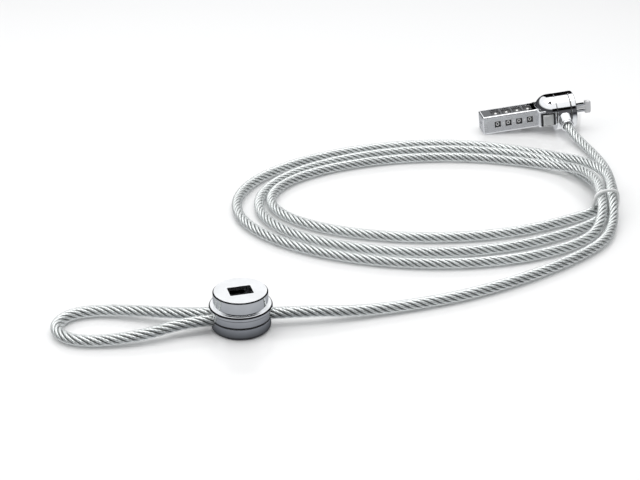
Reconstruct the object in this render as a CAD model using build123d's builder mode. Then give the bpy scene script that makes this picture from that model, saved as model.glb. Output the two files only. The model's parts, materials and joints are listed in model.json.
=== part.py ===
"""Laptop cable lock: combination head with T-bar, coated wire rope, and a round anchor.

Lengths are millimetres.  The row frame has +X along the lock's long axis towards the T-bar,
+Z up and the floor at z = 0.  Lock pieces are drawn in the lock's own frame, whose X axis is
the barrel's axis with 0 at the closed end of the bar, and are then tipped onto the floor.
"""
from build123d import *
from math import atan, cos, degrees, pi, radians, sin, tan
import os

# ---- driving dimensions ----------------------------------------------------------------
CABLE_D = 5.0                     # clear coat over the wire rope
BAR_L, BAR_W, BAR_H = 31.4, 12.0, 10.4
DIAL_R, DIAL_W, DIAL_PITCH, DIAL_FIRST = 5.30, 4.5, 6.2, 8.4
DIAL_GAP = 0.08                   # running clearance round each dial
HUB_R, SPINDLE_R, FIN_R = 3.2, 1.50, 2.2
INLAY_T, MARK_T = 0.4, 0.25
HEAD_R, HEAD_END = 10.5, 42.0     # bullet-shaped head shell
BLOCK_HALF, BLOCK_TOP = 8.6, 4.2  # square lower half of the head, carrying the button
RING_R, RING_START, RING_END = 10.45, 42.3, 50.1
CORE_R, CORE_GAP = 7.0, 0.06      # barrel that the cable ring turns on
COLLAR_START, COLLAR_END = 50.4, 53.5
GLAND_X, GLAND_DIP = 46.4, 16.0   # cable outlet on the ring, degrees below horizontal
GLAND_ROOT, GLAND_FACE, GLAND_MOUTH = 12.4, 13.6, 15.2
BUTTON_X, BUTTON_Z = (34.1, 39.9), (-4.1, 2.1)
BUTTON_FRONT, BUTTON_BACK = -9.6, -6.2
PINION_R, PINION_TEETH = 1.6, 8   # quarter turn of the T-bar
TRAVEL = PINION_R * pi / 2        # button stroke for that quarter turn
SHAFT_R = 1.2                     # T-bar shaft
TEE_H, TEE_W, TEE_L, TEE_START = 6.8, 2.8, 3.2, 60.6
ANCHOR = (-180.0, -207.0)         # anchor's centre on the floor
PORT_Z = 5.4                      # height of the cable through the anchor
BASE_R, FLANGE_R, CAP_R = 12.5, 13.3, 11.55
SLOT_L, SLOT_W, SLOT_TURN = 9.9, 7.3, 10.0
TIE_Y, TIE_SPAN = -111.0, (2.6, 13.2)  # tie round the four strands at the coil's right end
LEVELS = {"base": (0, 5.3), "seal": (5.3, 5.6), "band": (5.6, 8.7), "flange": (8.7, 11.0), "cap": (11.0, 16.9)}

# ---- resting pose of the lock: the bar's end and the cable ring touch the floor ----------
TIP = degrees(atan((RING_R - BAR_H / 2) / RING_START))
LOCK_AT = (-31.55, 2.5, BAR_H / 2 * cos(radians(TIP)) - 0.03)
LOCK_POSE = Location(LOCK_AT, (0, -TIP, 0))
DIALS = [DIAL_FIRST + DIAL_PITCH * k for k in range(4)]


def save(name, piece, place=None):
    """Label one finished piece and write it, tipped with the lock if asked."""
    solid = piece.part.moved(place) if place else piece.part
    solid.label = name
    export_step(solid, f"parts/{name}.step")


def rod(radius, start, length, at=(0, 0), mode=Mode.ADD):
    """Round stretch along the lock's axis, added to the open part."""
    with Locations((start, *at)):
        Cylinder(radius, length, rotation=(0, 90, 0), align=(Align.CENTER, Align.CENTER, Align.MIN), mode=mode)


def post(radius, low, high, at=(0, 0), mode=Mode.ADD):
    """Upright round stretch, added to the open part."""
    with Locations((*at, low)):
        Cylinder(radius, high - low, align=(Align.CENTER, Align.CENTER, Align.MIN), mode=mode)


def block(x, y, z, mode=Mode.ADD):
    """Box between two values on each axis, added to the open part."""
    with Locations(((x[0] + x[1]) / 2, (y[0] + y[1]) / 2, (z[0] + z[1]) / 2)):
        Box(x[1] - x[0], y[1] - y[0], z[1] - z[0], mode=mode)


# ---- bar with the four dials ---------------------------------------------------------------
def inlay_shape(mode=Mode.ADD):
    """Dark plate let into the top of the bar, with a rounded closed end."""
    block((1.0, BAR_L), (-5.0, 5.0), (BAR_H / 2 - INLAY_T, BAR_H / 2), mode)


def index_shapes(mode=Mode.ADD):
    """Short index lines between the dial windows on the front face."""
    for x in DIALS[:-1]:
        block((x + 2.55, x + 3.65), (-BAR_W / 2, -BAR_W / 2 + MARK_T), (0.15, 0.65), mode)


def cap_shape(mode=Mode.ADD):
    block((0, 1.4), (-4.6, 4.6), (-3.9, 3.9), mode)


def make_dial_housing():
    top = BAR_H / 2
    with BuildPart() as housing:
        block((0, BAR_L), (-BAR_W / 2, BAR_W / 2), (-top, top))
        fillet(housing.edges().filter_by(Axis.X), 0.8)
        chamfer(housing.faces().sort_by(Axis.X)[0].edges(), 0.5)
        cap_shape(Mode.SUBTRACT)
        inlay_shape(Mode.SUBTRACT)
        rod(2.6, 1.4, BAR_L - 1.4, mode=Mode.SUBTRACT)
        for x in DIALS:
            rod(DIAL_R + DIAL_GAP, x - DIAL_W / 2 - 0.1, DIAL_W + 0.2, mode=Mode.SUBTRACT)
            block((x - 2.5, x + 2.5), (-3.8, 3.8), (3.0, top), Mode.SUBTRACT)
            block((x - 2.35, x + 2.35), (-2.6, 2.6), (-top, -4.4), Mode.SUBTRACT)
            block((x - 1.75, x + 1.75), (-BAR_W / 2, -5.0), (-1.75, 1.75), Mode.SUBTRACT)
            block((x - 1.2, x + 1.2), (5.0, 5.7), (-1.2, 1.2), Mode.SUBTRACT)
        index_shapes(Mode.SUBTRACT)
        block((3.4, 31.0), (5.6, BAR_W / 2), (-2.4, 2.4), Mode.SUBTRACT)
    save("dial_housing", housing, LOCK_POSE)


def make_bar_trim():
    with BuildPart() as inlay:
        inlay_shape()
        for x in DIALS:
            block((x - 2.5, x + 2.5), (-3.8, 3.8), (3.0, BAR_H / 2), Mode.SUBTRACT)
    save("top_inlay_plate", inlay, LOCK_POSE)
    with BuildPart() as marks:
        index_shapes()
    save("index_marks", marks, LOCK_POSE)
    with BuildPart() as cap:
        cap_shape()
        rod(1.55, 0, 1.4, mode=Mode.SUBTRACT)
        chamfer(cap.faces().sort_by(Axis.X)[0].outer_wire().edges(), 0.25)
    save("end_cap", cap, LOCK_POSE)
    with BuildPart() as strip:
        block((3.6, 30.8), (5.62, 5.74), (-2.2, 2.2))
        for x in DIALS:
            block((x - 1.9, x + 1.9), (5.6, 5.8), (1.0, 1.3), Mode.SUBTRACT)
            block((x - 1.9, x + 1.9), (5.6, 5.8), (-1.3, -1.0), Mode.SUBTRACT)
    save("detent_spring_strip", strip, LOCK_POSE)
    with BuildPart() as cover:
        block((3.4, 31.0), (5.75, BAR_W / 2), (-2.4, 2.4))
    save("back_cover_plate", cover, LOCK_POSE)


def make_code_change_screw():
    with BuildPart() as screw:
        rod(1.5, 0.1, 1.3)
        rod(0.9, 1.4, 1.8)
        block((0, 0.6), (-1.6, 1.6), (-0.25, 0.25), Mode.SUBTRACT)
    save("code_change_screw", screw, LOCK_POSE)


def mark_shapes(x, mode=Mode.ADD):
    """Ten code marks let into the rim of one dial: a ring and nine dashes."""
    for k in range(10):
        turn = 36 * k
        face = Plane(origin=(x, -DIAL_R * cos(radians(turn)), DIAL_R * sin(radians(turn))),
                     x_dir=(1, 0, 0), z_dir=(0, -cos(radians(turn)), sin(radians(turn))))
        with BuildSketch(face.offset(-MARK_T - 0.12)) as mark:
            if k == 0:
                Ellipse(1.0, 1.1)
                Ellipse(0.5, 0.6, mode=Mode.SUBTRACT)
            else:
                RectangleRounded(0.9 + 0.2 * (k % 4), 1.4, 0.2)
        extrude(mark.sketch, amount=MARK_T if mode == Mode.ADD else MARK_T + 0.4, mode=mode)


def make_dial(number, x):
    low = x - DIAL_W / 2
    with BuildPart() as dial:
        rod(DIAL_R, low, DIAL_W)
        rod(HUB_R, low, DIAL_W, mode=Mode.SUBTRACT)
        chamfer(dial.faces().sort_by(Axis.X)[0].edges() + dial.faces().sort_by(Axis.X)[-1].edges(), 0.15)
        for k in range(10):
            turn = radians(36 * k + 18)
            with Locations((x, -DIAL_R * cos(turn), DIAL_R * sin(turn))):
                Cylinder(0.32, DIAL_W + 1, rotation=(0, 90, 0), mode=Mode.SUBTRACT)
        mark_shapes(x, Mode.SUBTRACT)
    save(f"dial_{number}", dial, LOCK_POSE)
    with BuildPart() as marks:
        mark_shapes(x)
    save(f"dial_marks_{number}", marks, LOCK_POSE)
    with BuildPart() as hub:
        rod(HUB_R, low, DIAL_W)
        rod(SPINDLE_R + DIAL_GAP, low, DIAL_W, mode=Mode.SUBTRACT)
        rod(FIN_R + 0.2, low + 0.9, DIAL_W - 0.9, mode=Mode.SUBTRACT)
    save(f"clutch_hub_{number}", hub, LOCK_POSE)


def make_dial_spindle():
    with BuildPart() as spindle:
        rod(SPINDLE_R, 4.6, 28.2)
        for x in DIALS:
            rod(FIN_R, x + 0.4, 1.0)
        chamfer(spindle.faces().sort_by(Axis.X)[-1].edges(), 0.3)
    save("dial_spindle", spindle, LOCK_POSE)
    make_spring("spindle_spring", (3.4, 0, 0), (1, 0, 0), 1.0, 1.1, 0.3, 2.5)


# ---- head with the push button --------------------------------------------------------------
def dome_shape(proud=0.0, mode=Mode.ADD):
    """Round head with its domed start, or the same a little larger."""
    with BuildSketch(Plane.XZ) as side:
        with BuildLine():
            dome = EllipticalCenterArc((39.4, 0), 8.4 + proud, HEAD_R + proud, 90, arc_size=90)
            Polyline(dome @ 1, (HEAD_END, 0), (HEAD_END, HEAD_R + proud), dome @ 0)
        make_face()
    revolve(side.sketch, axis=Axis.X, mode=mode)


def make_head_shell():
    with BuildPart() as shell:
        dome_shape()
        block((0, 60), (-20, 20), (-20, BLOCK_TOP - 0.8), Mode.SUBTRACT)
        block((BAR_L, HEAD_END), (-BLOCK_HALF, BLOCK_HALF), (-BAR_H / 2, BLOCK_TOP))
        fillet([e for e in shell.edges().filter_by(Axis.Z) if e.center().X < BAR_L + 0.1], 1.6)
        fillet([e for e in shell.edges().filter_by(Axis.X) if e.center().Z < -5], 1.2)
        block((BAR_L + 1.2, HEAD_END), (-7.4, 7.4), (-4.4, 4.4), Mode.SUBTRACT)
        rod(3.0, BAR_L - 1, 3, mode=Mode.SUBTRACT)
        block((32.9, 41.2), (-BLOCK_HALF, -7.0), (-4.6, 3.2), Mode.SUBTRACT)
        status_shape(Mode.SUBTRACT)
    save("head_shell", shell, LOCK_POSE)


def status_shape(mode=Mode.ADD):
    """Small arrowhead let into the dome above the button."""
    tilt = 52
    away = (0, -cos(radians(tilt)), sin(radians(tilt)))
    face = Plane(origin=(38.6, away[1] * 9.7, away[2] * 9.7), x_dir=(1, 0, 0), z_dir=away)
    with BuildSketch(face) as arrow:
        with BuildLine():
            Polyline((-1.4, 0), (1.0, 1.05), (1.0, -1.05), close=True)
        make_face()
    extrude(arrow.sketch, amount=1.4, mode=mode)


def make_status_mark():
    with BuildPart() as mark:
        status_shape()
        dome_shape(0.05, Mode.INTERSECT)
    save("status_arrow", mark, LOCK_POSE)


def make_button_group():
    low, high = BUTTON_X
    with BuildPart() as bezel:
        block((32.9, 41.2), (-BLOCK_HALF - 0.1, -7.8), (-4.6, 3.2))
        block((low - 0.06, high + 0.06), (-9, -7), (BUTTON_Z[0] - 0.06, BUTTON_Z[1] + 0.06), Mode.SUBTRACT)
    save("button_bezel", bezel, LOCK_POSE)
    with BuildPart() as button:
        block((low, high), (BUTTON_FRONT, BUTTON_BACK), BUTTON_Z)
        front = button.faces().sort_by(Axis.Y)[0]
        chamfer(front.edges(), 0.45)
        for k in range(6):
            x = low + 0.95 + 0.82 * k
            block((x - 0.14, x + 0.14), (BUTTON_FRONT, BUTTON_FRONT + 0.22), (-3.4, 1.2), Mode.SUBTRACT)
    save("release_button", button, LOCK_POSE)
    make_rack()
    wire, seat = 0.36, -2.7
    make_spring("button_spring", (37.0, BUTTON_BACK + wire / 2 + 0.02, 0.5), (0, 1, 0),
                seat - BUTTON_BACK - wire - 0.04, 1.5, wire, 3.5)


def make_rack():
    """Rack behind the button; its teeth turn the T-bar's pinion from below."""
    pitch = 2 * pi * PINION_R / PINION_TEETH
    tip, root = -1.32, -2.0
    with BuildPart() as rack:
        block((36.1, 37.9), (BUTTON_BACK, 2.6), (-3.4, root))
        for k in range(-4, 2):
            y = (k + 0.5) * pitch
            with BuildSketch(Plane.YZ.offset(36.1)) as tooth:
                with BuildLine():
                    Polyline((y - 0.32, root - 0.1), (y - 0.13, tip), (y + 0.13, tip), (y + 0.32, root - 0.1), close=True)
                make_face()
            extrude(tooth.sketch, amount=1.8)
    save("button_rack", rack, LOCK_POSE)


def make_spring(name, at, along, length, coil, wire, turns):
    """Compression spring whose wire's centre line starts at one point and runs along a direction."""
    place = Plane(origin=at, x_dir=(0, 0, 1), z_dir=along)
    path = Helix(length / turns, length, coil).moved(place.location)
    with BuildPart() as spring:
        with BuildSketch(Plane(origin=path @ 0, z_dir=path % 0)) as section:
            Circle(wire / 2)
        sweep(section.sketch, path=path, is_frenet=True)
    save(name, spring, LOCK_POSE)


def make_bearing_plate():
    """Steel chassis in the head: rear bearing of the T-bar and seat of the button's spring."""
    with BuildPart() as plate:
        block((33.9, 34.7), (-3.4, 7.0), (-4.2, 4.2))
        block((34.7, 41.8), (-2.7, -2.1), (-1.2, 4.2))
        block((40.4, 41.9), (-7.0, 7.0), (-4.2, 4.2))
        rod(1.05, 33.5, 2, mode=Mode.SUBTRACT)
        rod(2.1, 34.7, 5.0, mode=Mode.SUBTRACT)
        rod(SHAFT_R + 0.05, 40.0, 2.5, mode=Mode.SUBTRACT)
        block((35.9, 38.1), (-7.5, 7.5), (-4.5, -1.2), Mode.SUBTRACT)
    save("bearing_plate", plate, LOCK_POSE)


# ---- T-bar, barrel, cable ring and collar -----------------------------------------------------
def make_t_bar():
    with BuildPart() as bar:
        rod(1.0, 33.2, 3.0)
        rod(1.08, 35.2, 4.0)
        rod(SHAFT_R, 39.2, TEE_START - 39.2 + 0.2)
        block((TEE_START, TEE_START + TEE_L), (-TEE_W / 2, TEE_W / 2), (-TEE_H / 2, TEE_H / 2))
        head = bar.faces().sort_by(Axis.X)[-1]
        chamfer(head.edges(), 0.5)
        for k in range(PINION_TEETH):
            with BuildSketch(Plane.YZ.offset(35.2)) as tooth:
                with BuildLine():
                    Polyline((-0.34, -0.95), (-0.15, -1.85), (0.15, -1.85), (0.34, -0.95), close=True)
                make_face()
            extrude(tooth.sketch.rotate(Axis.X, 360 / PINION_TEETH * k), amount=3.6)
    save("t_bar_spindle", bar, LOCK_POSE)
    with BuildPart() as clip:
        rod(1.9, 33.45, 0.35)
        rod(1.0, 33.45, 0.35, mode=Mode.SUBTRACT)
        block((33, 34), (-0.45, 0.45), (-2, 0), Mode.SUBTRACT)
    save("spindle_circlip", clip, LOCK_POSE)


def make_head_core():
    with BuildPart() as core:
        rod(CORE_R, HEAD_END, COLLAR_END - HEAD_END - 0.6)
        rod(SHAFT_R + 0.05, HEAD_END, 12, mode=Mode.SUBTRACT)
        rod(3.4, HEAD_END + 2.0, 7.0, mode=Mode.SUBTRACT)
    save("head_core", core, LOCK_POSE)


def gland_direction():
    return (0, -cos(radians(GLAND_DIP)), -sin(radians(GLAND_DIP)))


def gland_plane(radius):
    """Plane across the cable outlet, that far from the lock's axis."""
    away = gland_direction()
    return Plane(origin=(GLAND_X, away[1] * radius, away[2] * radius), x_dir=(1, 0, 0), z_dir=away)


def make_cable_ring():
    with BuildPart() as ring:
        rod(RING_R, RING_START, RING_END - RING_START)
        chamfer(ring.faces().sort_by(Axis.X)[0].edges() + ring.faces().sort_by(Axis.X)[-1].edges(), 0.25)
        with BuildSketch(gland_plane(7.5)):
            with Locations((-0.2, 0)):
                RectangleRounded(7.6, 11.0, 3.0)
        with BuildSketch(gland_plane(GLAND_FACE)):
            Circle(3.7)
        loft()
        rod(CORE_R + CORE_GAP, RING_START - 1, RING_END - RING_START + 2, mode=Mode.SUBTRACT)
        with BuildSketch(gland_plane(8.2)) as bore:
            Circle(3.0)
        extrude(bore.sketch, amount=6, mode=Mode.SUBTRACT)
    save("cable_swivel_ring", ring, LOCK_POSE)
    with BuildPart() as gland:
        with BuildSketch(gland_plane(GLAND_ROOT)) as neck:
            Circle(3.0)
            Circle(CABLE_D / 2 + 0.1, mode=Mode.SUBTRACT)
        extrude(neck.sketch, amount=GLAND_FACE - GLAND_ROOT)
        with BuildSketch(gland_plane(GLAND_FACE)) as lip:
            Circle(3.6)
            Circle(CABLE_D / 2 + 0.1, mode=Mode.SUBTRACT)
        extrude(lip.sketch, amount=GLAND_MOUTH - GLAND_FACE)
        fillet(gland.edges().filter_by(GeomType.CIRCLE).sort_by(Axis.Y)[:2], 0.4)
    save("gland_ring", gland, LOCK_POSE)
    with BuildPart() as stop:
        with BuildSketch(gland_plane(8.3)) as end:
            Circle(2.9)
        extrude(end.sketch, amount=GLAND_ROOT - 8.3)
    save("cable_end_stop", stop, LOCK_POSE)


def make_collar():
    with BuildPart() as collar:
        rod(HEAD_R, COLLAR_START, COLLAR_END - COLLAR_START)
        rod(CORE_R, COLLAR_START, COLLAR_END - COLLAR_START, mode=Mode.SUBTRACT)
        outer = collar.edges().filter_by(GeomType.CIRCLE).sort_by(Axis.X)
        fillet([e for e in outer[-2:] if e.radius > 9], 0.9)
        chamfer([e for e in outer[:2] if e.radius > 9], 0.25)
    save("front_collar", collar, LOCK_POSE)
    with BuildPart() as nose:
        rod(CORE_R, COLLAR_END - 0.6, 1.0)
        rod(3.3, COLLAR_END, 1.6)
        for side in (1, -1):
            block((COLLAR_END, TEE_START - 0.3), (-1.35, 1.35), (min(side * 1.3, side * 2.3), max(side * 1.3, side * 2.3)))
        rod(SHAFT_R + 0.05, 50, 12, mode=Mode.SUBTRACT)
        chamfer(nose.faces().filter_by(Axis.X).sort_by(Axis.X)[-2:].edges(), 0.15)
    save("nose_bush", nose, LOCK_POSE)


# ---- anchor: the round housing that closes the cable's end loop --------------------------------
def anchor_slot_sketch(length, width):
    """Rectangle over the anchor's centre, turned as its slot is."""
    with Locations(Location((*ANCHOR, 0), (0, 0, SLOT_TURN))):
        RectangleRounded(length, width, 0.5)


def cable_ports(mode=Mode.SUBTRACT):
    """Ways through the anchor's wall: one strand on the right, two on the left."""
    reach = CABLE_D / 2 + 0.1
    with Locations((ANCHOR[0] + 9.5, ANCHOR[1], PORT_Z)):
        Cylinder(reach, 8, rotation=(0, 90, 0), mode=mode)
    for y in (-2.9, 2.9):
        with Locations((ANCHOR[0] - 9.5, ANCHOR[1] + y, PORT_Z)):
            Cylinder(reach, 8, rotation=(0, 90, 0), mode=mode)
    block((ANCHOR[0] - 13.5, ANCHOR[0] - 5.5), (ANCHOR[1] - 2.9, ANCHOR[1] + 2.9), (PORT_Z - reach, PORT_Z + reach), mode)


def screw_places():
    return [(ANCHOR[0] + x, ANCHOR[1] + y) for x in (-3.5, 3.5) for y in (-8.0, 8.0)]


def make_anchor():
    x, y = ANCHOR
    pocket = ((x - 9.6, x + 9.6), (y - 6.5, y + 6.5))
    low, high = LEVELS["base"]
    with BuildPart() as base:
        post(BASE_R, low, high, ANCHOR)
        fillet(base.faces().sort_by(Axis.Z)[0].edges(), 1.5)
        chamfer(base.faces().sort_by(Axis.Z)[-1].edges(), 0.3)
        block(*pocket, (1.6, high), Mode.SUBTRACT)
        cable_ports()
        for at in screw_places():
            post(1.1, low, high, at, Mode.SUBTRACT)
            post(1.8, low, 1.6, at, Mode.SUBTRACT)
    save("anchor_base", base)
    low, high = LEVELS["seal"]
    with BuildPart() as seal:
        post(BASE_R - 0.5, low, high, ANCHOR)
        block(*pocket, (low, high), Mode.SUBTRACT)
        cable_ports()
        for at in screw_places():
            post(1.1, low, high, at, Mode.SUBTRACT)
    save("anchor_seal", seal)
    low, high = LEVELS["band"]
    with BuildPart() as band:
        post(BASE_R, low, high, ANCHOR)
        chamfer(band.faces().sort_by(Axis.Z)[0].edges(), 0.3)
        block(*pocket, (low, high - 0.3), Mode.SUBTRACT)
        cable_ports()
        for at in screw_places():
            post(1.1, low, high, at, Mode.SUBTRACT)
    save("anchor_band", band)
    low, high = LEVELS["flange"]
    with BuildPart() as flange:
        post(FLANGE_R, low, high, ANCHOR)
        fillet(flange.edges().filter_by(GeomType.CIRCLE), 0.8)
        post(10.0, low, high, ANCHOR, Mode.SUBTRACT)
    save("anchor_flange_ring", flange)
    make_anchor_cap()
    with BuildPart() as screws:
        for at in screw_places():
            post(1.75, 0.4, 1.6, at)
            post(1.1, 1.6, 11.0, at)
            block((at[0] - 1.2, at[0] + 1.2), (at[1] - 0.2, at[1] + 0.2), (0.3, 0.9), Mode.SUBTRACT)
            block((at[0] - 0.2, at[0] + 0.2), (at[1] - 1.2, at[1] + 1.2), (0.3, 0.9), Mode.SUBTRACT)
    save("anchor_screws", screws)
    with BuildPart() as sleeve:
        with Locations((x + 7.0, y, PORT_Z)):
            Cylinder(2.9, 7.0, rotation=(0, -90, 0), align=(Align.CENTER, Align.CENTER, Align.MIN))
    save("crimp_sleeve_tail", sleeve)
    with BuildPart() as pair:
        with BuildSketch(Plane.YZ.offset(x - 7.0)) as oval:
            with Locations((y, PORT_Z)):
                SlotOverall(11.8, 5.8)
        extrude(oval.sketch, amount=5.5)
    save("crimp_sleeve_loop", pair)


def make_anchor_cap():
    low, high = LEVELS["cap"]
    plate = (low, low + 1.4)
    with BuildPart() as cap:
        post(CAP_R, low, high, ANCHOR)
        chamfer(cap.faces().sort_by(Axis.Z)[-1].edges(), 0.5)
        post(10.0, LEVELS["flange"][0], low, ANCHOR)
        with BuildSketch(Plane.XY.offset(plate[1])) as slot:
            anchor_slot_sketch(SLOT_L, SLOT_W)
        extrude(slot.sketch, amount=high, mode=Mode.SUBTRACT)
        with BuildSketch(Plane.XY.offset(LEVELS["flange"][0])) as seat:
            anchor_slot_sketch(12.4, 9.2)
        extrude(seat.sketch, amount=plate[1] - LEVELS["flange"][0], mode=Mode.SUBTRACT)
        for at in screw_places():
            post(1.1, LEVELS["flange"][0], low, at, Mode.SUBTRACT)
    save("anchor_cap", cap)
    with BuildPart() as guard:
        with BuildSketch(Plane.XY.offset(plate[0])) as outline:
            anchor_slot_sketch(12.4, 9.2)
        extrude(outline.sketch, amount=plate[1] - plate[0])
        with BuildSketch(Plane.XY.offset(plate[0])) as slit:
            with Locations(Location((*ANCHOR, 0), (0, 0, SLOT_TURN))):
                SlotOverall(7.4, 3.2)
        extrude(slit.sketch, amount=plate[1] - plate[0], mode=Mode.SUBTRACT)
    save("anchor_slot_plate", guard)




# ---- cable -----------------------------------------------------------------------------------
def lock_point(x, y, z):
    """Point of the lock's frame, in the row frame."""
    at = (LOCK_POSE * Location((x, y, z))).position
    return (at.X, at.Y, at.Z)


def lead_route():
    away = gland_direction()
    start = lock_point(GLAND_X, away[1] * GLAND_ROOT, away[2] * GLAND_ROOT)
    bend = lock_point(GLAND_X, away[1] * 26.0, away[2] * 26.0)
    return [start, bend, (20.4, -40.0, 2.6), (22.0, -60.0, 2.6), (19.4, -82.0, 2.6)]


TAIL_ROUTE = [(9.8, -116, 2.6), (4.0, -132.5, 2.6), (-7, -149.5, 2.6), (-24, -165, 2.6), (-50, -181, 2.6),
              (-80, -194.5, 2.6), (-107, -201.5, 2.6), (-132, -205.5, 3.2), (-150, -207, 5.4), (-173, -207, 5.4)]
LOOP_ROUTE = [(-187, -204.1, 5.4), (-201, -204.1, 5.4), (-221, -196.4, 3.8), (-240, -191.4, 2.6),
              (-252.5, -194.0, 2.6), (-257.8, -204.5, 2.6), (-251.5, -215.0, 2.6), (-238, -218.0, 2.6),
              (-220, -216.8, 3.8), (-201, -209.9, 5.4), (-187, -209.9, 5.4)]


def corner_radii(points):
    """Largest arc at each point: 0.45 of the shorter run over the tangent of half the turn."""
    radii = []
    for before, at, after in zip(points, points[1:], points[2:]):
        run_in = Vector(*at) - Vector(*before)
        run_out = Vector(*after) - Vector(*at)
        turn = radians(run_in.get_angle(run_out))
        radii.append(0.45 * min(run_in.length, run_out.length) / tan(turn / 2))
    return radii


def make_cord(name, points):
    radii = corner_radii(points)
    with BuildPart() as cord:
        with BuildLine() as path:
            FilletPolyline(*points, radius=radii)
        line = path.wires()[0]
        with BuildSketch(Plane(origin=line @ 0, z_dir=line % 0)) as section:
            Circle(CABLE_D / 2)
        sweep(section.sketch, path=line)
    share = cord.part.volume / (pi * CABLE_D ** 2 / 4 * line.length)
    print(name, "length", round(line.length, 1), "volume share", round(share, 4), "radii", [round(r, 1) for r in radii])
    save(name, cord)


def make_coil():
    """Outer shape of the three loose turns, with the tied bundle of four strands at its right."""
    with BuildPart() as coil:
        with BuildSketch() as turns:
            with Locations((-82.1, -93)):
                RectangleRounded(196.6, 146, 70)
            with Locations((-77, -88.3)):
                Ellipse(80.7, 47.8, mode=Mode.SUBTRACT)
            with BuildLine():
                Polyline((7.0, -116), (1.2, -131.4), (-9.4, -147.6), (-25.6, -162.4), (-45, -175),
                         (40, -175), (40, -116), close=True)
            make_face(mode=Mode.SUBTRACT)
        extrude(turns.sketch, amount=CABLE_D)
        with BuildSketch() as bundle:
            with BuildLine():
                Polyline((9.5, -82), (21.9, -82), (18.0, -97), (13.4, -111), (12.6, -116), (1.6, -116), (2.4, -111),
                         (7.2, -97), close=True)
            make_face()
        extrude(bundle.sketch, amount=2 * CABLE_D)
        low, high = TIE_SPAN
        block((-15, low), (TIE_Y - 1.4, TIE_Y + 1.4), (-1, 12), Mode.SUBTRACT)
        block((high, 30), (TIE_Y - 1.4, TIE_Y + 1.4), (-1, 12), Mode.SUBTRACT)
    save("cable_coil", coil)


def make_tie():
    """Thin band round the four strands."""
    low, high = TIE_SPAN
    with BuildPart() as tie:
        block((low - 1.0, high + 1.0), (TIE_Y - 1.2, TIE_Y + 1.2), (0, 2 * CABLE_D + 1.0))
        block((low, high), (TIE_Y - 1.2, TIE_Y + 1.2), (0, 2 * CABLE_D), Mode.SUBTRACT)
    save("cable_tie", tie)


def main():
    os.makedirs("parts", exist_ok=True)
    make_dial_housing()
    make_bar_trim()
    make_code_change_screw()
    for number, x in enumerate(DIALS, 1):
        make_dial(number, x)
    make_dial_spindle()
    make_head_shell()
    make_status_mark()
    make_button_group()
    make_bearing_plate()
    make_t_bar()
    make_head_core()
    make_cable_ring()
    make_collar()
    make_anchor()
    make_cord("cable_lead", lead_route())
    make_cord("cable_tail", TAIL_ROUTE)
    make_cord("cable_loop", LOOP_ROUTE)
    make_coil()
    make_tie()
    print("lock axis passes", LOCK_AT, "direction", (cos(radians(TIP)), 0, sin(radians(TIP))))


main()
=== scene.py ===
"""Looks of the laptop cable lock: camera, soft studio, procedural finishes and the coated wire rope."""
import json
import math

import bpy
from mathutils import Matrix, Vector


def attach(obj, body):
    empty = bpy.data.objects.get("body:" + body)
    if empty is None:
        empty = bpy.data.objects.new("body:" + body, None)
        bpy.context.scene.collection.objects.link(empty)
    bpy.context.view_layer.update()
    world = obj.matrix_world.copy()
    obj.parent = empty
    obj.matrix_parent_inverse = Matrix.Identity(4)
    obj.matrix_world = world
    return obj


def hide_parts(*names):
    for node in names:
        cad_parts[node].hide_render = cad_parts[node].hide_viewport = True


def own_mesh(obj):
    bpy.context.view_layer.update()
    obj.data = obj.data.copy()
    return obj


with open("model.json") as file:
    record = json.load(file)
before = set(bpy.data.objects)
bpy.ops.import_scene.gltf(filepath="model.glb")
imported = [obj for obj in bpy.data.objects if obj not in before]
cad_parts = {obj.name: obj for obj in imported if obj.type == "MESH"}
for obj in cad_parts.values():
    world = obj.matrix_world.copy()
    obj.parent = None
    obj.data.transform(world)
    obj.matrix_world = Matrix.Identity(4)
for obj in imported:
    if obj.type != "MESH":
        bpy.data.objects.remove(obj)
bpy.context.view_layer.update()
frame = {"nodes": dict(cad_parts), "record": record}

NODES = frame["nodes"]
SCENE = bpy.context.scene
MM = 0.001


# ---- camera --------------------------------------------------------------------------------
CAMERA_AT = (-0.1984, -0.6809, 0.2708)
CAMERA_PITCH, CAMERA_YAW = 64.0, -6.2  # degrees up from straight down, and turned to the right
lens = bpy.data.cameras.new("camera")
lens.lens, lens.sensor_width = 73.125, 36.0
lens.clip_start, lens.clip_end = 0.01, 20.0
camera = bpy.data.objects.new("camera", lens)
camera.location = CAMERA_AT
camera.rotation_euler = (math.radians(CAMERA_PITCH), 0.0, math.radians(CAMERA_YAW))
SCENE.collection.objects.link(camera)
SCENE.camera = camera


# ---- rope routes, in mm, as in the CAD ------------------------------------------------------
ROPE_D = 5.0
ROPE_LAY = 21.0      # one turn of a strand round the rope
STRANDS_R = 2.25     # outside of the strands, inside the clear skin
WIRE_PITCH, WIRE_SLANT = 2.6, 3.5  # spacing of the thin wires' bands along a strand, and how steep they run
TIE_R = 0.8
LEAD = [(14.92, -9.42, 7.45), (15.01, -12.11, 6.69), (17.0, -24.0, 3.9), (20.2, -40, 2.6),
        (21.2, -60, 2.6), (19.4, -76, 2.6), (16.4, -90, 2.7)]
TAIL = [(7.0, -119.5, 7.6), (3.4, -133.0, 3.2), (-6.2, -150.0, 2.6), (-24, -165, 2.6), (-50, -181, 2.6),
        (-80, -194.5, 2.6), (-107, -201.5, 2.6), (-132, -205.5, 3.2), (-150, -207, 5.4), (-173, -207, 5.4)]
LOOP = [(-187, -204.1, 5.4), (-201, -204.1, 5.4), (-221, -196.4, 3.8), (-240, -191.4, 2.6),
        (-252.5, -194.0, 2.6), (-257.8, -204.5, 2.6), (-251.5, -215.0, 2.6), (-238, -218.0, 2.6),
        (-220, -216.8, 3.8), (-201, -209.9, 5.4), (-187, -209.9, 5.4)]
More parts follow.
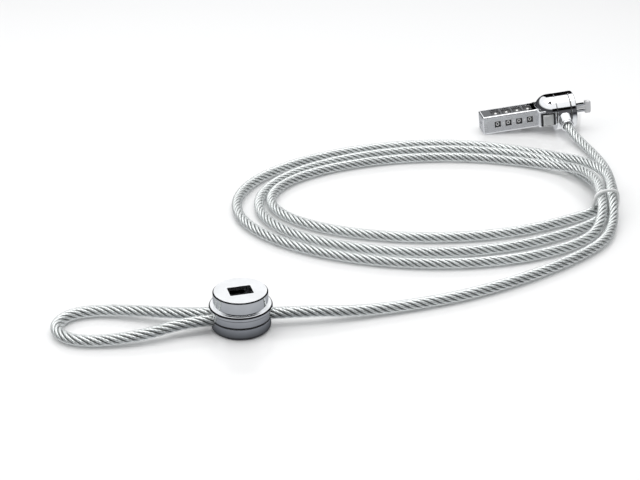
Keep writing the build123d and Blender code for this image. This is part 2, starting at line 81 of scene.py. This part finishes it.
# each loose turn is its own oval: middle x and y, half length, half width, and how far it is pulled askew
OVALS = {
    "second": (-77.0, -90.8, 89.5, 63.3, 2.9, 2.3),
    "inner": (-76.1, -88.3, 83.8, 50.3, 2.5, -0.7),
    "outer": (-81.0, -92.6, 96.9, 73.5, 7.6, 0.4),
}


def on_oval(name, degrees, z=2.6):
    """One point of a coil turn; 0 degrees is its right end and the rope runs clockwise from above."""
    mx, my, a, b, askew_x, askew_y = OVALS[name]
    c, s = math.cos(math.radians(degrees)), math.sin(math.radians(degrees))
    return (mx + a * c + askew_x * s * s, my + b * s + askew_y * c, z)


def turn(name, first, last, count):
    return [on_oval(name, first + (last - first) * k / (count - 1)) for k in range(count)]


# three turns; under the tie the last two passes lie on the first two
MAIN = LEAD + [(13.8, -101, 3.3), (9.9, -111, 3.5), (4.2, -120.5, 2.9), (-4.4, -129.2, 2.6)]
MAIN = MAIN + turn("second", -52, -336, 15)
MAIN = MAIN + [(10.2, -85, 2.7), (8.6, -99, 3.3), (4.8, -111, 3.5), (-2.6, -118.4, 2.8)]
MAIN = MAIN + turn("inner", -46, -312, 14)
MAIN = MAIN + [on_oval("inner", -327, 4.0), on_oval("inner", -342, 7.2), (6.6, -88, 8.6), (6.0, -99.5, 8.8)]
MAIN = MAIN + [(3.2, -111, 8.9), (1.0, -121.5, 8.8), (-2.2, -131.5, 6.3), (-8.6, -142.6, 2.8)]
MAIN = MAIN + turn("outer", -60, -312, 13)
MAIN = MAIN + [on_oval("outer", -326, 4.4), on_oval("outer", -339, 7.4), (14.3, -83, 8.6), (13.6, -92, 8.8)]
MAIN = MAIN + [(11.3, -102, 8.8), (8.6, -111, 8.8)] + TAIL


def nurbs(name, points, radius=0.0, cyclic=False, sides=5, resolution=10):
    """A smooth NURBS line through the route's control points, in the row frame."""
    line = bpy.data.curves.new(name, "CURVE")
    line.dimensions = "3D"
    line.resolution_u = resolution
    line.bevel_depth = radius * MM
    line.bevel_resolution = sides
    line.use_fill_caps = True
    spline = line.splines.new("NURBS")
    spline.points.add(len(points) - 1)
    for p, at in zip(spline.points, points):
        p.co = (at[0] * MM, at[1] * MM, at[2] * MM, 1.0)
    spline.use_cyclic_u = cyclic
    spline.order_u = 3
    spline.use_endpoint_u = not cyclic
    spline.use_smooth = True
    o = bpy.data.objects.new(name, line)
    SCENE.collection.objects.link(o)
    return o


def centreline(points, step):
    """Evenly spaced points read from the route's own NURBS line, in metres, with the distance of each."""
    o = nurbs("reading_line", points, resolution=24)
    mesh = bpy.data.meshes.new_from_object(o)
    line = [v.co.copy() for v in mesh.vertices]
    bpy.data.meshes.remove(mesh)
    bpy.data.objects.remove(o)
    gone = [0.0]
    for a, b in zip(line, line[1:]):
        gone.append(gone[-1] + (b - a).length)
    count = max(2, int(gone[-1] / step))
    found, k = [], 0
    for i in range(count + 1):
        at = gone[-1] * i / count
        while k < len(line) - 2 and gone[k + 1] < at:
            k += 1
        share = (at - gone[k]) / max(gone[k + 1] - gone[k], 1e-12)
        found.append((line[k].lerp(line[k + 1], min(share, 1.0)), at))
    return found, gone[-1]


def frames(found):
    """Point, side and up vectors along a line, turned as little as possible from one to the next."""
    places = [p for p, _ in found]
    up, rows = Vector((0, 0, 1)), []
    for k, p in enumerate(places):
        along = (places[min(k + 1, len(places) - 1)] - places[max(k - 1, 0)]).normalized()
        up = (up - along * up.dot(along)).normalized()
        rows.append((p, along.cross(up), up))
    return rows


def wire_rope(name, points, outer, lay, strands=6, each=6, step=1.15):
    """Strands laid round a core: a lobed tube twisting along the rope, with the wires' slant in its UVs."""
    found, length = centreline(points, step * MM)
    rows = frames(found)
    middle, small = outer * 2 / 3, outer / 3
    valley = 0.577  # radius where two strands meet, as a share of the outside
    ring = []
    for k in range(strands * each):
        within = (k % each) / each - 0.5
        away = math.radians(360 / strands) * within
        r = middle * math.cos(away) + math.sqrt(max(small ** 2 - (middle * math.sin(away)) ** 2, 0.0))
        ring.append((math.radians(360) * k / (strands * each), r, within))
    verts, deep = [], []
    for (p, side, up), (_, at) in zip(rows, found):
        twist = -2 * math.pi * at / (lay * MM)
        for angle, r, _ in ring:
            a = angle + twist
            verts.append(p + (side * math.cos(a) + up * math.sin(a)) * (r * MM))
            deep.append((r / outer - valley) / (1 - valley))
    n = len(ring)
    faces = [(i * n + k, i * n + (k + 1) % n, (i + 1) * n + (k + 1) % n, (i + 1) * n + k)
             for i in range(len(rows) - 1) for k in range(n)]
    mesh = bpy.data.meshes.new(name)
    mesh.from_pydata(verts, [], faces)
    uv = mesh.uv_layers.new(name="wires")
    for f in range(len(faces)):
        i, k = divmod(f, n)
        low, high = ring[k][2], ring[k][2] + 1.0 / each
        a0, a1 = found[i][1] / MM / WIRE_PITCH, found[i + 1][1] / MM / WIRE_PITCH
        for corner, (w, a) in enumerate(((low, a0), (high, a0), (high, a1), (low, a1))):
            uv.data[f * 4 + corner].uv = (w * WIRE_SLANT + a, w)
    groove = mesh.attributes.new("groove", "FLOAT", "POINT")
    groove.data.foreach_set("value", deep)
    mesh.shade_smooth()
    o = bpy.data.objects.new(name, mesh)
    SCENE.collection.objects.link(o)
    return o, length


# ---- finishes --------------------------------------------------------------------------------
def finish_of(name):
    material = bpy.data.materials.new(name)
    material.use_nodes = True
    tree = material.node_tree
    tree.nodes.clear()
    out = tree.nodes.new("ShaderNodeOutputMaterial")
    body = tree.nodes.new("ShaderNodeBsdfPrincipled")
    tree.links.new(body.outputs[0], out.inputs[0])
    return material, tree, body


def node(tree, kind, inputs=(), **settings):
    n = tree.nodes.new(kind)
    for key, value in settings.items():
        setattr(n, key, value)
    for key, value in dict(inputs).items():
        if hasattr(value, "is_output"):
            tree.links.new(value, n.inputs[key])
        else:
            n.inputs[key].default_value = value
    return n


def place(tree, stretch=(1, 1, 1)):
    at = node(tree, "ShaderNodeTexCoord")
    return node(tree, "ShaderNodeMapping", {"Vector": at.outputs["Object"], "Scale": stretch}).outputs[0]


def noise(tree, at, scale, detail=4.0, rough=0.55, bend=0.0):
    values = {"Vector": at, "Scale": scale, "Detail": detail, "Roughness": rough, "Distortion": bend}
    return node(tree, "ShaderNodeTexNoise", values).outputs["Fac"]


def spread(tree, value, low, high, to_low, to_high):
    values = {"Value": value, "From Min": low, "From Max": high, "To Min": to_low, "To Max": to_high}
    return node(tree, "ShaderNodeMapRange", values).outputs[0]


def shade(tree, value, stops):
    ramp = node(tree, "ShaderNodeValToRGB", {"Fac": value})
    band = ramp.color_ramp
    while len(band.elements) < len(stops):
        band.elements.new(0.5)
    for e, (at, colour) in zip(band.elements, stops):
        e.position, e.color = at, (*colour, 1.0)
    return ramp.outputs[0]


def multiply(tree, a, b):
    """One colour darkened by another."""
    values = {"Factor": 1.0, "A": a, "B": b}
    return node(tree, "ShaderNodeMix", values, data_type="RGBA", blend_type="MULTIPLY").outputs[2]


def object_normal(tree, axis):
    """How far the surface faces along one of the part's own axes."""
    facing = node(tree, "ShaderNodeTexCoord").outputs["Normal"]
    return node(tree, "ShaderNodeSeparateXYZ", {"Vector": facing}).outputs[axis]


def bumps(tree, body, height, strength, depth=0.0001, under=None):
    values = {"Height": height, "Strength": strength, "Distance": depth}
    if under is not None:
        values["Normal"] = under
    b = node(tree, "ShaderNodeBump", values)
    tree.links.new(b.outputs[0], body.inputs["Normal"])
    return b


def scale_colour(colour, by):
    return tuple(min(1.0, c * by) for c in colour)


def metal(name, colour, rough, scratch=0.05, grain=(1, 1, 1), grain_scale=900, soft_edge=0.0, metallic=1.0):
    """Plated or turned metal: faint clouding, wiping marks in the gloss, and hairlines."""
    material, tree, body = finish_of(name)
    at, along = place(tree), place(tree, grain)
    cloud = noise(tree, at, 160, 5, 0.6)
    clouded = shade(tree, cloud, ((0.3, scale_colour(colour, 0.92)), (0.62, colour)))
    tree.links.new(clouded, body.inputs["Base Color"])
    body.inputs["Metallic"].default_value = metallic
    wipe = noise(tree, along, grain_scale, 6, 0.6, 0.4)
    tree.links.new(spread(tree, wipe, 0.3, 0.7, rough[0], rough[1]), body.inputs["Roughness"])
    under = None
    if soft_edge:
        under = node(tree, "ShaderNodeBevel", {"Radius": soft_edge * MM}, samples=4).outputs[0]
    bumps(tree, body, wipe, scratch, 0.00006, under)
    return material, tree, body


def plastic(name, colour, rough, grain=1600, strength=0.25, coat=0.0):
    material, tree, body = finish_of(name)
    at = place(tree)
    fine, cloud = noise(tree, at, grain, 3, 0.6), noise(tree, at, 120, 4, 0.6)
    clouded = shade(tree, cloud, ((0.3, scale_colour(colour, 0.86)), (0.7, scale_colour(colour, 1.12))))
    tree.links.new(clouded, body.inputs["Base Color"])
    tree.links.new(spread(tree, fine, 0.3, 0.7, rough[0], rough[1]), body.inputs["Roughness"])
    body.inputs["Coat Weight"].default_value = coat
    bumps(tree, body, fine, strength, 0.00008)
    return material, tree, body


def housing_finish():
    """Bar: polished on its rims, satin on the face with the dial windows."""
    material, tree, body = metal("housing_chrome", (0.92, 0.93, 0.945), (0.05, 0.12), 0.05, (0.12, 1, 1), 1400,
                                 soft_edge=0.25, metallic=0.9)
    satin = spread(tree, object_normal(tree, "Y"), -0.97, -0.90, 1.0, 0.0)
    hairline = spread(tree, noise(tree, place(tree, (0.08, 1, 1)), 2600, 4, 0.6), 0.3, 0.7, 0.24, 0.36)
    polish = body.inputs["Roughness"].links[0].from_socket
    mixed = node(tree, "ShaderNodeMix", {"Factor": satin, "A": polish, "B": hairline}, data_type="FLOAT")
    tree.links.new(mixed.outputs[0], body.inputs["Roughness"])
    return material


def anchor_finish():
    """Anchor: plated too, with a painted dark reflection multiplied into the colour of its sloped turned
    bevels.
    """
    material, tree, body = metal("anchor_chrome", (0.88, 0.89, 0.905), (0.03, 0.10), 0.03, soft_edge=0.12)
    no_painted_reflection, painted_dark_reflection = (1, 1, 1), (0.03, 0.03, 0.032)
    # painted dark reflection: surfaces sloping between flat and upright are darkened to near black by their
    # normal
    rim = shade(tree, object_normal(tree, "Z"), ((0.18, no_painted_reflection), (0.32, painted_dark_reflection), (0.90, painted_dark_reflection), (0.97, no_painted_reflection)))
    plating = body.inputs["Base Color"].links[0].from_socket
    tree.links.new(multiply(tree, plating, rim), body.inputs["Base Color"])
    return material


def strand_finish():
    """Bright drawn wires with painted shade, near black in the grooves between strands and dark on the flanks,
    a painted highlight on each strand's crown, and each wire's own slant.
    """
    material, tree, body = finish_of("rope_strands")
    at = place(tree)
    deep = node(tree, "ShaderNodeAttribute", attribute_name="groove").outputs["Fac"]
    slant = node(tree, "ShaderNodeUVMap", uv_map="wires").outputs[0]
    wires = node(tree, "ShaderNodeTexWave", {"Vector": slant, "Scale": 0.314, "Distortion": 0.0},
                 wave_type="BANDS", bands_direction="X", wave_profile="SIN").outputs["Fac"]
    painted_groove_shade, painted_flank_shade, bright = (0.008, 0.010, 0.009), (0.09, 0.105, 0.10), (0.97, 0.985, 0.98)
    # painted shade and highlight: colour runs from near black in the grooves through dark flanks to bright
    # crowns, by groove depth
    base = shade(tree, deep, ((0.0, painted_groove_shade), (0.42, painted_flank_shade), (0.82, bright)))
    cloud = spread(tree, noise(tree, at, 90, 4, 0.6), 0.3, 0.7, 0.82, 1.0)
    tree.links.new(multiply(tree, base, cloud), body.inputs["Base Color"])
    body.inputs["Metallic"].default_value = 0.78
    tree.links.new(spread(tree, wires, 0.0, 1.0, 0.40, 0.26), body.inputs["Roughness"])
    bumps(tree, body, wires, 0.5, 0.00012)
    return material


def coat_finish(name="rope_clear_coat", haze=(0.02, 0.46), tint=(0.93, 0.955, 0.95)):
    """Clear vinyl skin: nearly see-through face on, milky and glossy towards its edges."""
    material = bpy.data.materials.new(name)
    material.use_nodes = True
    tree = material.node_tree
    tree.nodes.clear()
    out = node(tree, "ShaderNodeOutputMaterial")
    at = place(tree)
    edge = node(tree, "ShaderNodeLayerWeight", {"Blend": 0.42}).outputs["Facing"]
    cloud = spread(tree, noise(tree, at, 220, 4, 0.6), 0.3, 0.7, -0.03, 0.03)
    skin = spread(tree, edge, 0.35, 0.95, haze[0], haze[1])
    milk = node(tree, "ShaderNodeMath", {0: skin, 1: cloud}, operation="ADD").outputs[0]
    through = node(tree, "ShaderNodeBsdfTransparent", {"Color": (0.97, 0.98, 0.98, 1)})
    vinyl = node(tree, "ShaderNodeBsdfPrincipled", {"Base Color": (*tint, 1), "Roughness": 0.20})
    fine = noise(tree, at, 700, 3, 0.6)
    tree.links.new(spread(tree, fine, 0.3, 0.7, 0.14, 0.26), vinyl.inputs["Roughness"])
    bumps(tree, vinyl, fine, 0.12, 0.0001)
    first = node(tree, "ShaderNodeMixShader", {0: milk, 1: through.outputs[0], 2: vinyl.outputs[0]})
    shine = node(tree, "ShaderNodeBsdfGlossy", {"Color": (1, 1, 1, 1), "Roughness": 0.12})
    gloss = spread(tree, node(tree, "ShaderNodeFresnel", {"IOR": 1.45}).outputs[0], 0.03, 0.6, 0.04, 0.16)
    last = node(tree, "ShaderNodeMixShader", {0: gloss, 1: first.outputs[0], 2: shine.outputs[0]})
    tree.links.new(last.outputs[0], out.inputs[0])
    return material


ALONG = (0.1, 1, 1)  # texture stretch that draws the grain out along the lock
FINISH = {
    "polished_chrome": metal("polished_chrome", (0.86, 0.87, 0.885), (0.025, 0.09), 0.02, soft_edge=0.22)[0],
    "housing_chrome": housing_finish(),
    "anchor_chrome": anchor_finish(),
    "dark_mirror_inlay": metal("dark_mirror_inlay", (0.085, 0.088, 0.095), (0.04, 0.11), 0.03,
                               ALONG, 1500)[0],
    "steel": metal("steel", (0.60, 0.61, 0.63), (0.16, 0.32), 0.10, (1, 0.3, 1), 1300)[0],
    "t_bar_steel": metal("t_bar_steel", (0.97, 0.97, 0.975), (0.10, 0.20), 0.05, (0.2, 1, 1), 1500,
                         soft_edge=0.2, metallic=0.45)[0],
    "spring_steel": metal("spring_steel", (0.46, 0.47, 0.49), (0.20, 0.38), 0.12, (1, 1, 0.3), 1500)[0],
    "brass_core": metal("brass_core", (0.30, 0.23, 0.12), (0.30, 0.48), 0.10, (0.3, 1, 1), 1300)[0],
    "dark_plate": metal("dark_plate", (0.004, 0.004, 0.0045), (0.30, 0.48), 0.15, grain_scale=1100)[0],
    "black_plastic": plastic("black_plastic", (0.016, 0.016, 0.018), (0.22, 0.40), 1500, 0.20, 0.25)[0],
    "white_mark": plastic("white_mark", (0.92, 0.92, 0.90), (0.30, 0.48), 1800, 0.15)[0],
    "button_grey": plastic("button_grey", (0.66, 0.67, 0.67), (0.28, 0.42), 1500, 0.20, 0.2)[0],
    "black_rubber": plastic("black_rubber", (0.018, 0.018, 0.018), (0.55, 0.80), 1700, 0.35)[0],
    "rope_strands": strand_finish(),
    "clear_coated_rope": coat_finish(),
    "clear_tie": coat_finish("clear_tie", (0.88, 1.0), (0.95, 0.96, 0.955)),
}

OWN_FINISH = {"anchor_base": "anchor_chrome", "anchor_band": "anchor_chrome", "anchor_cap": "anchor_chrome",
              "anchor_flange_ring": "anchor_chrome", "t_bar_spindle": "t_bar_steel"}
for part in frame["record"]["subparts"]:
    o = NODES.get(part["node"])
    if o is None:
        continue
    chosen = FINISH[OWN_FINISH.get(part["node"], part["material_slot"])]
    o.data.materials.clear()
    o.data.materials.append(chosen)


# ---- rope pieces ------------------------------------------------------------------------------
def rope(name, points, nodes):
    coat = nurbs(name, points, ROPE_D / 2, sides=6, resolution=9)
    coat.data.materials.append(FINISH["clear_coated_rope"])
    strands, length = wire_rope(name + "_strands", points, STRANDS_R, ROPE_LAY)
    strands.data.materials.append(FINISH["rope_strands"])
    for piece in (coat, strands):
        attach(piece, "cable_assembly")
    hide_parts(*nodes)
    return coat


# a thin clear tie holds the four strands at the right end of the coil
TIE = [(-2.3, -117.6, 4.2), (-1.9, -117.2, 8.8), (-0.1, -116.0, 12.0), (5.1, -114.2, 12.5),
       (10.0, -113.2, 12.1), (11.8, -112.6, 8.6), (11.8, -113.0, 3.8), (10.3, -113.8, 0.9),
       (5.1, -115.2, 0.86), (-0.3, -117.0, 0.95)]
tie = nurbs("rope_tie", TIE, TIE_R, cyclic=True, sides=4)
tie.data.materials.append(FINISH["clear_tie"])
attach(tie, "cable_assembly")
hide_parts("cable_tie")

MAIN_NODES = ["cable_lead", "cable_coil", "cable_tail"]
rope("rope_main", MAIN, MAIN_NODES)
rope("rope_loop", LOOP, ["cable_loop"])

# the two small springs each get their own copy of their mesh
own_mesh(NODES["button_spring"])
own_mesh(NODES["spindle_spring"])


# ---- studio ------------------------------------------------------------------------------------
def floor():
    mesh = bpy.data.meshes.new("floor")
    mesh.from_pydata([(-6, -6, 0), (6, -6, 0), (6, 6, 0), (-6, 6, 0)], [], [(0, 1, 2, 3)])
    o = bpy.data.objects.new("floor", mesh)
    material, tree, body = finish_of("floor")
    body.inputs["Base Color"].default_value = (0.93, 0.93, 0.93, 1)
    body.inputs["Roughness"].default_value = 0.14
    body.inputs["Specular IOR Level"].default_value = 0.5
    # painted light: in the metal's reflections the floor is a glowing emission, painted to fall off to grey
    # with distance, as it does in a small studio
    out = tree.nodes["Material Output"]
    facing = node(tree, "ShaderNodeLayerWeight", {"Blend": 0.5}).outputs["Facing"]
    far = shade(tree, facing, ((0.30, (0.86, 0.87, 0.88)), (0.52, (0.66, 0.67, 0.69)),
                               (0.62, (0.42, 0.43, 0.45)), (0.80, (0.04, 0.04, 0.045))))
    # and a painted shadow makes it darkest right under the anchor, whose own shadow the low plating shows
    at = node(tree, "ShaderNodeTexCoord").outputs["Object"]
    under = node(tree, "ShaderNodeMapping", {"Vector": at, "Location": (0.180, 0.207, 0.0)}).outputs[0]
    away = node(tree, "ShaderNodeVectorMath", {0: under}, operation="LENGTH").outputs["Value"]
    shaded = shade(tree, spread(tree, away, 0.0, 0.10, 0.0, 1.0),
                   ((0.125, (0.03, 0.03, 0.033)), (0.20, (0.30, 0.31, 0.33)),
                    (0.34, (0.62, 0.63, 0.65)), (0.60, (1, 1, 1))))
    mirrored = node(tree, "ShaderNodeEmission", {"Color": multiply(tree, far, shaded), "Strength": 1.0})
    by_metal = node(tree, "ShaderNodeLightPath").outputs["Is Glossy Ray"]
    both = node(tree, "ShaderNodeMixShader", {0: by_metal, 1: body.outputs[0], 2: mirrored.outputs[0]})
    tree.links.new(both.outputs[0], out.inputs[0])
    mesh.materials.append(material)
    SCENE.collection.objects.link(o)


def light(name, size, power, at, aim, mirrored=True):
    lamp = bpy.data.lights.new(name, "AREA")
    lamp.shape, lamp.size, lamp.size_y, lamp.energy = "RECTANGLE", size[0], size[1], power
    o = bpy.data.objects.new(name, lamp)
    o.location = at
    o.rotation_euler = (Vector(aim) - Vector(at)).to_track_quat("-Z", "Y").to_euler()
    o.visible_glossy = mirrored
    SCENE.collection.objects.link(o)


def sky():
    """White above with a dark horizon that gives bright metal its dark edges; plain pale to the camera."""
    world = bpy.data.worlds.new("studio")
    SCENE.world = world
    world.use_nodes = True
    tree = world.node_tree
    tree.nodes.clear()
    out = node(tree, "ShaderNodeOutputWorld")
    toward = node(tree, "ShaderNodeTexCoord").outputs["Generated"]
    at = node(tree, "ShaderNodeSeparateXYZ", {"Vector": toward})
    tilted = {0: at.outputs["Y"], 1: 0.22, 2: at.outputs["Z"]}
    lean = node(tree, "ShaderNodeMath", tilted, operation="MULTIPLY_ADD").outputs[0]
    bands = shade(tree, lean, ((0.0, (0.10, 0.10, 0.105)), (0.38, (0.035, 0.037, 0.04)),
                               (0.50, (0.92, 0.93, 0.94)), (1.0, (1.0, 1.0, 1.0))))
    around = node(tree, "ShaderNodeBackground", {"Color": bands, "Strength": 0.90})
    mirrored = node(tree, "ShaderNodeBackground", {"Color": bands, "Strength": 1.15})
    plain = node(tree, "ShaderNodeBackground", {"Color": (0.97, 0.97, 0.97, 1), "Strength": 1.0})
    rays = node(tree, "ShaderNodeLightPath").outputs
    by_metal = {0: rays["Is Glossy Ray"], 1: around.outputs[0], 2: mirrored.outputs[0]}
    lit = node(tree, "ShaderNodeMixShader", by_metal)
    by_camera = {0: rays["Is Camera Ray"], 1: lit.outputs[0], 2: plain.outputs[0]}
    both = node(tree, "ShaderNodeMixShader", by_camera)
    tree.links.new(both.outputs[0], out.inputs[0])


CARD_REACH = 0.056  # metres from the head within which a card is seen


def black_card(name, x, low, high):
    """A dark flag close to the head that only the head's mirrors see: the black bands in its plating."""
    mesh = bpy.data.meshes.new(name)
    corners = [(x[0], *low), (x[1], *low), (x[1], *high), (x[0], *high)]
    mesh.from_pydata(corners, [], [(0, 1, 2, 3)])
    o = bpy.data.objects.new(name, mesh)
    material, tree, body = finish_of(name)
    body.inputs["Base Color"].default_value = (0.004, 0.004, 0.004, 1)
    body.inputs["Roughness"].default_value = 1.0
    body.inputs["Specular IOR Level"].default_value = 0.0
    # further off, as from the floor, the flag is clear
    away = node(tree, "ShaderNodeLightPath").outputs["Ray Length"]
    far_off = node(tree, "ShaderNodeMath", {0: away, 1: CARD_REACH}, operation="GREATER_THAN").outputs[0]
    clear = node(tree, "ShaderNodeBsdfTransparent")
    both = node(tree, "ShaderNodeMixShader", {0: far_off, 1: body.outputs[0], 2: clear.outputs[0]})
    tree.links.new(both.outputs[0], tree.nodes["Material Output"].inputs[0])
    mesh.materials.append(material)
    SCENE.collection.objects.link(o)
    o.visible_camera = o.visible_diffuse = o.visible_shadow = o.visible_transmission = False


floor()
sky()
black_card("card_behind", x=(0.0, 0.036), low=(0.030, 0.002), high=(0.030, 0.058))
black_card("card_in_front", x=(0.012, 0.032), low=(-0.048, 0.032), high=(-0.040, 0.044))
light("softbox_top", (1.2, 0.9), 5.0, (-0.10, 0.10, 1.1), (-0.08, -0.10, 0.0))
light("softbox_left", (0.5, 0.7), 1.6, (-0.95, -0.25, 0.55), (-0.05, -0.08, 0.0), mirrored=False)
light("softbox_front", (0.7, 0.25), 0.8, (0.15, -1.15, 0.60), (-0.05, -0.08, 0.0), mirrored=False)
SCENE.view_settings.view_transform = "Standard"
